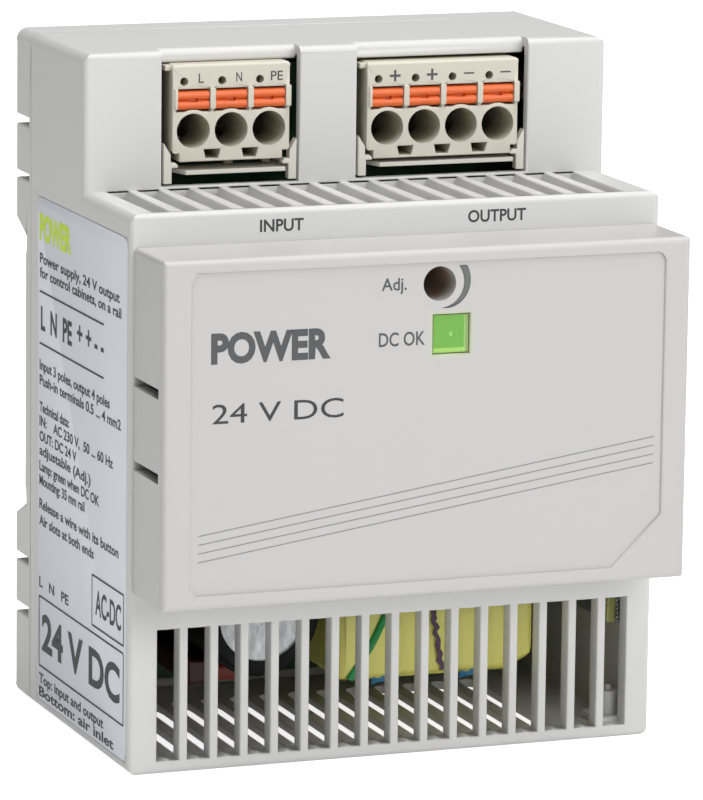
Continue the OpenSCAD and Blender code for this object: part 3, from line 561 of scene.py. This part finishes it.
def print_piece(bm, name, ink, slot="housing"):
    """Makes a piece of what the bmesh holds so far, in one ink."""
    bmesh.ops.recalc_face_normals(bm, faces=bm.faces)
    return piece_from(bm, name, [ink], slot=slot)


RECESS_MM = 0.35
panel = on_front(cad_low.y / MM + RECESS_MM)
bm = bmesh.new()
print_words(bm, panel, "Adj.", -6.6, -3.25, 62.4, 64.5, 0.012)
print_words(bm, panel, "DC OK", -6.9, -0.7, 55.8, 57.6, 0.012)
print_piece(bm, "panel_marks", INK)
bm = bmesh.new()
print_words(bm, panel, "24 V DC", -28.9, -11.5, 47.2, 49.7)
print_piece(bm, "rating_print", INK_DARK)
bm = bmesh.new()
print_words(bm, panel, "POWER", -29.1, -13.3, 54.7, 58.7, 0.045)
print_piece(bm, "name_print", INK)

ledge = on_front(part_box("main_cover")[0].y / MM)
bm = bmesh.new()
print_words(bm, ledge, "INPUT", -18.85, -13.0, 69.2, 70.8, 0.02)
print_words(bm, ledge, "OUTPUT", 9.3, 17.25, 69.2, 70.8, 0.02)
print_piece(bm, "ledge_print", INK_DARK)
print("words printed on the front")

# %% [markdown]
# ## Pole marks
# Each pole has its mark above the button, just right of the test hole. The poles are found from the
# boxes of the buttons, so the marks follow the CAD model.

# %% Pole marks
strip_face = on_front(mouth_mm)
MARKS = {"input": ("L", "N", "PE"), "output": ("+", "+", "-", "-")}
MARK_SIZE = {"L": (0.72, 1.22), "N": (0.8, 1.22), "PE": (1.66, 1.22), "+": (1.5, 1.5), "-": (1.45, 0.2)}
bm = bmesh.new()
for side, marks in MARKS.items():
    for number, mark in enumerate(marks, 1):
        low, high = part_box(f"{side}_button_{number}")
        middle = (low.x + high.x) / 2 / MM + 1.02
        height = high.z / MM + 1.62
        width, tall = MARK_SIZE[mark]
        print_words(bm, strip_face, mark, middle - width / 2, middle + width / 2,
                    height - tall / 2, height + tall / 2, 0.01)
print_piece(bm, "pole_marks", INK, "terminal_body")
print("pole marks:", sum(len(m) for m in MARKS.values()))

# %% [markdown]
# ## Lines and the turning mark on the panel
# Four thin lines rise across the panel and draw together a little. The mark beside the trimmer hole
# is a strip of a grid that is bent round the hole and thins out towards its tail.

# %% Lines and turning mark
bm = bmesh.new()
for k in range(4):
    print_bar(bm, panel, (-30.6, 33.12 - 1.117 * k), (30.9, 42.28 - 1.13 * k), 0.13)
print_piece(bm, "panel_lines", INK_LINE)


def turning_mark(name, ink, margin, out):
    """A crescent round the hole, cut off flat above and thinning to a point below."""
    bm = bmesh.new()
    grid = bmesh.ops.create_grid(bm, x_segments=32, y_segments=2, size=0.5)
    for vertex in grid["verts"]:
        t, across = vertex.co.x + 0.5, vertex.co.y + 0.5
        inner, thick = 3.36 - 0.28 * t, 0.9 * (1 - t ** 2.2)
        radius = inner + margin + max(thick - 2 * margin, 0.0) * across
        angle = math.radians((40.7 - 9.5 * across - 22 * margin) * (1 - t) - (85 - 110 * margin) * t)
        vertex.co = panel(HOLE_X + radius * math.cos(angle), HOLE_Z + radius * math.sin(angle), out)
    return print_piece(bm, name, ink)


turning_mark("turning_mark_edge", INK, 0.0, INK_MM)
turning_mark("turning_mark_fill", INK_FILL, 0.11, INK_MM * 2)
print("panel lines and turning mark")

# %% [markdown]
# ## Label
# The label is a silvered film in a shallow pocket. What it says is general: the kind of unit, its
# terminals and how it is fitted. Two rules and two frames order it, as on any such label. A row has
# its height, its share of the label's width, and its words.

# %% Label film and its print
label_low, label_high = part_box("rating_label")
film_mm = label_low.x / MM + 0.04
bm = merged_copy("rating_label")
for vertex in bm.verts:
    vertex.co.x = max(vertex.co.x, film_mm * MM)
piece_from(bm, "label_film", [LABEL], slot="label", replaces=["rating_label"], smooth_deg=30)
label = on_left(film_mm)
rear, front = label_high.y / MM, label_low.y / MM
ROWS = (
    (60.7, 0.95, "Power supply, 24 V output"), (58.8, 0.97, "for control cabinets, on a rail"),
    (46.5, 0.84, "Input 3 poles, output 4 poles"), (44.5, 0.97, "Push-in terminals 0.5 ... 4 mm2"),
    (40.9, 0.36, "Technical data:"), (39.0, 0.88, "IN:    AC 230 V,  50 ... 60 Hz"),
    (37.0, 0.45, "OUT: DC 24 V"), (35.1, 0.62, "         adjustable (Adj.)"),
    (33.0, 0.72, "Lamp: green when DC OK"), (31.1, 0.55, "Mounting: 35 mm rail"),
    (27.9, 0.95, "Release a wire with its button"), (25.7, 0.66, "Air slots at both ends"),
    (17.3, 0.36, "L   N   PE"), (4.3, 0.78, "Top: input and output"), (2.5, 0.9, "Bottom: air inlet"),
)
margin = 0.9
width = rear - front - 2 * margin
bm = bmesh.new()
for height, part, words in ROWS:
    print_words(bm, label, words, rear - margin, rear - margin - part * (width - 0.4),
                height - 0.8, height + 1.0, 0.022, line=True)
for a, b in (((rear - margin, 56.5), (rear - margin - 0.76 * width, 56.5)),
             ((rear - margin, 49.6), (rear - margin - 0.76 * width, 49.6)),
             ((rear - margin, 15.6), (front + margin, 15.6)),
             ((rear - margin, 6.2), (front + margin, 6.2)),
             ((rear - margin, 6.2), (rear - margin, 15.6)),
             ((front + margin, 6.2), (front + margin, 15.6)),
             ((-3.2, 23.2), (front + margin, 23.2)), ((-3.2, 16.6), (front + margin, 16.6)),
             ((-3.2, 16.6), (-3.2, 23.2)), ((front + margin, 16.6), (front + margin, 23.2))):
    print_bar(bm, label, a, b, 0.28)
print_piece(bm, "label_print", INK_BLACK, "label")
bm = bmesh.new()
print_words(bm, label, "L  N  PE", rear - margin - 0.5, 5.6, 51.4, 54.6, 0.03)
print_words(bm, label, "+ + - -", 3.4, -7.6, 51.3, 55.3, 0.02, line=True)
print_words(bm, label, "24 V DC", rear - margin - 1.2, -14.6, 8.4, 13.6, 0.03)
print_words(bm, label, "AC-DC", -4.6, front + margin + 1.0, 18.2, 21.6, 0.02)
print_piece(bm, "label_heading", INK_BLACK, "label")
bm = bmesh.new()
print_words(bm, label, "POWER", rear - 0.7, 6.0, 63.2, 66.9, 0.05)
print_piece(bm, "label_name", LIME_INK, "label")
print("label rows:", len(ROWS))

# %% [markdown]
# ## Capacitors
# Each can has a black shrink sleeve that is rolled over its end, and the bare aluminium shows inside
# the roll. The faces of the CAD model's shallow end recess are found by their distance from the axis.

# %% Capacitor cans
def cans(node, centres, bare_radius_mm):
    """Sleeved cans, bare within a radius of each centre in the XZ plane."""
    bm = merged_copy(node)
    front_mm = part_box(node)[0].y / MM
    for face in bm.faces:
        middle = face.calc_center_median() / MM
        near = min((Vector((middle.x - c[0], middle.z - c[1])).length for c in centres))
        if near < bare_radius_mm and middle.y < front_mm + 0.6:
            face.material_index = 1
    return soften(bm, node + "_cans", [SLEEVE, CAN_END], 0.25, shortest_mm=0.1,
                  slot="capacitor_sleeve", replaces=[node])


bulk_low, bulk_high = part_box("bulk_capacitors")
bulk_x = (bulk_low.x + bulk_high.x) / 2 / MM
bulk_r = (bulk_high.x - bulk_low.x) / 2 / MM
cans("bulk_capacitors", [(bulk_x, bulk_low.z / MM + bulk_r), (bulk_x, bulk_high.z / MM - bulk_r)],
     bulk_r - 2.2)
OUTPUT_CANS = ((9, 63.8), (19.6, 64.5), (24.1, 44.6))
cans("output_capacitors", OUTPUT_CANS, 2.7)

BRICK_BEYOND_X = -20.2
bm = merged_copy("filter_capacitors")
for face in bm.faces:
    face.material_index = int(face.calc_center_median().x / MM > BRICK_BEYOND_X)
soften(bm, "film_capacitors", [RED_EPOXY, BRICK_EPOXY], 0.3, slot="red_epoxy",
       replaces=["filter_capacitors"])
print("capacitors done")

# %% [markdown]
# ## Transformer tape and its marks
# Tape never lies flat: the wrap is pushed in and out by a few tenths, and pulled up at its lower right
# corner. A green sleeved lead crosses it, a marker pen has run down it and two blue tape ends hang
# out. At the far right another tape lies on the heat sink, with a twisted pair of leads before it.

# %% Tape, lead and marks
bm = merged_copy("transformer_tape")
RIPPLES_PER_M = Vector((260, 120, 90))
long_edges = [edge for edge in bm.edges if edge.calc_length() > 3 * MM]
bmesh.ops.subdivide_edges(bm, edges=long_edges, cuts=7, use_grid_fill=True)
tape_low, tape_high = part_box("transformer_tape")
corner_x, corner_z = tape_high.x / MM - 2.6, tape_low.z / MM
for vertex in bm.verts:
    past = vertex.co.x / MM - corner_x
    if past > 0 and vertex.co.z / MM < corner_z + 2:
        vertex.co.z += 0.75 * past * MM
    ripple = noise.noise(vertex.co * RIPPLES_PER_M)
    if vertex.co.y < tape_low.y + 0.5 * MM:
        vertex.co.y += (0.35 + 0.3 * ripple) * MM
piece_from(bm, "tape_wrap", [TAPE], slot="yellow_tape", replaces=["transformer_tape"], smooth_deg=50)


def tube(name, points, radius_mm, material, slot, sides=4):
    """A round lead through the given points, as a curve turned into a mesh."""
    curve = bpy.data.curves.new(name, "CURVE")
    curve.dimensions, curve.bevel_depth, curve.bevel_resolution = "3D", radius_mm * MM, sides
    curve.use_fill_caps = True
    spline = curve.splines.new("POLY")
    spline.points.add(len(points) - 1)
    for point, place in zip(spline.points, points):
        point.co = (*(Vector(place) * MM), 1.0)
    holder = bpy.data.objects.new(name, curve)
    mesh = bpy.data.meshes.new_from_object(holder)
    bm = bmesh.new()
    bm.from_mesh(mesh)
    bpy.data.objects.remove(holder)
    bmesh.ops.recalc_face_normals(bm, faces=bm.faces)
    return piece_from(bm, name, [material], slot=slot, smooth_deg=50)


tape_y = tape_low.y / MM
lead = [(-3.7 + 5.6 * t + 0.5 * math.sin(3 * t), tape_y + 0.25, 8.9 + 9.6 * t + 0.6 * t * t)
        for t in (k / 14 for k in range(15))]
tube("green_lead", lead, 0.5, GREEN_SLEEVE, "yellow_tape", 5)
bm = bmesh.new()
grid = bmesh.ops.create_grid(bm, x_segments=3, y_segments=40, size=0.5)
for vertex in grid["verts"]:
    t, across = vertex.co.y + 0.5, vertex.co.x
    ragged = 0.62 + 0.4 * noise.noise(Vector((across * 3, t * 21, 0.3)))
    vertex.co = Vector((9.15 - 1.5 * t + 0.12 * math.sin(30 * t) + ragged * across * 1.15,
                        tape_y + 0.02 - 0.06 * (1 - abs(2 * across)), 9.3 + 8.6 * t)) * MM
print_piece(bm, "marker_line", VIOLET_PEN, "yellow_tape")
bm = bmesh.new()
for centre, half in ((0.45, 0.95), (12.8, 1.0)):
    grid = bmesh.ops.create_grid(bm, x_segments=6, y_segments=3, size=0.5)
    for vertex in grid["verts"]:
        x, y = vertex.co.x, vertex.co.y
        vertex.co = Vector((centre + 2 * half * x, tape_y + 0.6 + 0.15 * math.cos(6 * x),
                            corner_z - 0.15 + 0.9 * y + 0.35 * x)) * MM
print_piece(bm, "tape_ends", BLUE_TAPE, "yellow_tape")

sink_low, sink_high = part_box("output_heatsink")
bm = bmesh.new()
bmesh.ops.create_cube(bm, size=1.0)
for vertex in bm.verts:
    x, y, z = vertex.co
    vertex.co = Vector(((sink_low.x + sink_high.x) / 2 + x * (sink_high.x - sink_low.x + 0.3 * MM),
                        sink_low.y + (2.4 + 5.2 * y) * MM, sink_low.z + (9.2 + 18.6 * z) * MM))
soften(bm, "plate_tape", [TAPE_OLIVE], 0.2, slot="yellow_tape")
for turn in (0.0, math.pi):
    strand = [(sink_high.x / MM - 0.45 + 0.2 * math.cos(5.5 * t + turn), sink_low.y / MM - 0.62
               + 0.2 * math.sin(5.5 * t + turn), 14.4 + t) for t in (k / 8 for k in range(60))]
    tube(f"twisted_lead_{1 + (turn > 0)}", strand, 0.2, SPRING, "plated_steel", 2)
print("tape wrap and marks done")

# %% [markdown]
# ## Latch spring
# The spring is squeezed against its stop when the latch is pulled. Here it is made as a piece with
# its own copy of the mesh.

# %% Latch spring
coil = piece_from(merged_copy("latch_spring"), "latch_coil", [SPRING], slot="spring_steel",
                  replaces=["latch_spring"], smooth_deg=60)
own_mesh(coil)

# %% [markdown]
# ## Finishes of the parts that keep their CAD shape
# Contacts, boards and most electronics are right as they come, and need only their finish.

# %% Finishes for CAD nodes
finishes = {
    "cover_screws": ZINC,
    "input_contacts": TINNED, "output_contacts": TINNED,
    "input_clamp_springs": SPRING, "output_clamp_springs": SPRING,
    "main_board": BOARD, "control_board": BOARD,
    "status_led": CLEAR, "trimmer_body": TRIMMER_CASE, "trimmer_rotor": DIAL,
    "fuse": FUSE_CASE, "varistor": BLUE_EPOXY, "safety_capacitor": BLUE_EPOXY,
    "choke_core": FERRITE, "choke_windings": COPPER,
    "bridge_rectifier": BLACK_EPOXY, "primary_heatsink": ALUMINIUM,
    "switching_transistor": BLACK_EPOXY, "transformer_core": FERRITE,
    "transformer_winding": COPPER_FINE, "transformer_bobbin": PHENOLIC,
    "optocoupler": BLACK_EPOXY, "controller_chip": BLACK_EPOXY,
    "output_heatsink": ALUMINIUM, "output_rectifier": BLACK_EPOXY,
    "output_choke_core": PAINTED_CORE, "output_choke_winding": COPPER,
}
for name, material in finishes.items():
    nodes[name].data.materials.clear()
    nodes[name].data.materials.append(material)
print("CAD nodes given a finish:", len(finishes))
